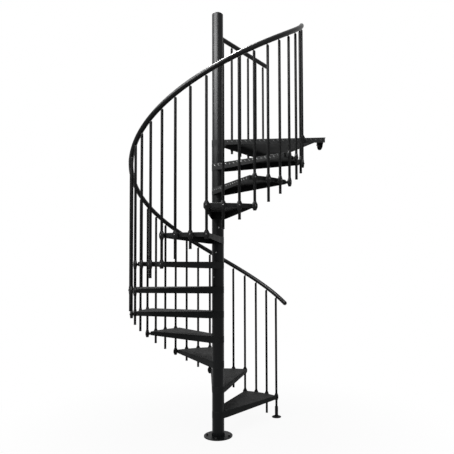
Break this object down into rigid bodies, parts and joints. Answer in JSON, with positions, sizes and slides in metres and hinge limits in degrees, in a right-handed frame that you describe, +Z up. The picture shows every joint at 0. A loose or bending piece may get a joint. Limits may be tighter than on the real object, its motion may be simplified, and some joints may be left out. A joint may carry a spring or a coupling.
{
  "type": "spiral staircase",
  "caption": "Black steel spiral staircase turning counter-clockwise up a centre pole, with folded wedge treads, a triangular landing, slim round balusters and a round handrail.",
  "frame": {"origin": "centre of the base flange's underside, on the centre pole's axis and on the floor", "axes": "+Z up along the centre pole; +X towards the landing's side of the pole; -Y is the side the stair is seen from; the treads climb counter-clockwise seen from above"},
  "size_m": [1.7545, 1.582, 3.856],
  "materials": {
    "black_steel": "satin black powder coat",
    "baluster_steel": "satin black powder coat",
    "handrail": "smooth black cover with a low sheen",
    "black_plastic": "moulded black nylon"
  },
  "bodies": {
    "root": {"base_flange": "black_steel", "centre_pole": "black_steel", "pole_spacers": "black_steel", "tread_01": "black_steel", "tread_02": "black_steel", "tread_03": "black_steel", "tread_04": "black_steel", "tread_05": "black_steel", "tread_06": "black_steel", "tread_07": "black_steel", "tread_08": "black_steel", "tread_09": "black_steel", "tread_10": "black_steel", "tread_11": "black_steel", "landing_plate": "black_steel", "near_landing_lug": "black_steel", "far_landing_lug": "black_steel", "landing_rail_socket": "black_steel", "first_baluster": "baluster_steel", "lower_balusters": "baluster_steel", "middle_balusters": "baluster_steel", "upper_balusters": "baluster_steel", "landing_balusters": "baluster_steel", "handrail_1": "handrail", "handrail_2": "handrail", "handrail_3": "handrail", "handrail_4": "handrail", "handrail_joints": "handrail", "landing_rail": "handrail", "lower_clamps": "black_plastic", "middle_clamps": "black_plastic", "upper_clamps": "black_plastic", "landing_clamps": "black_plastic", "baluster_plugs": "black_plastic", "baluster_fittings": "black_plastic", "baluster_foot": "black_plastic", "landing_plugs": "black_plastic", "landing_fittings": "black_plastic", "handrail_caps": "black_plastic", "landing_rail_cap": "black_plastic", "pole_cap": "black_plastic"}
  },
  "joints": []
}
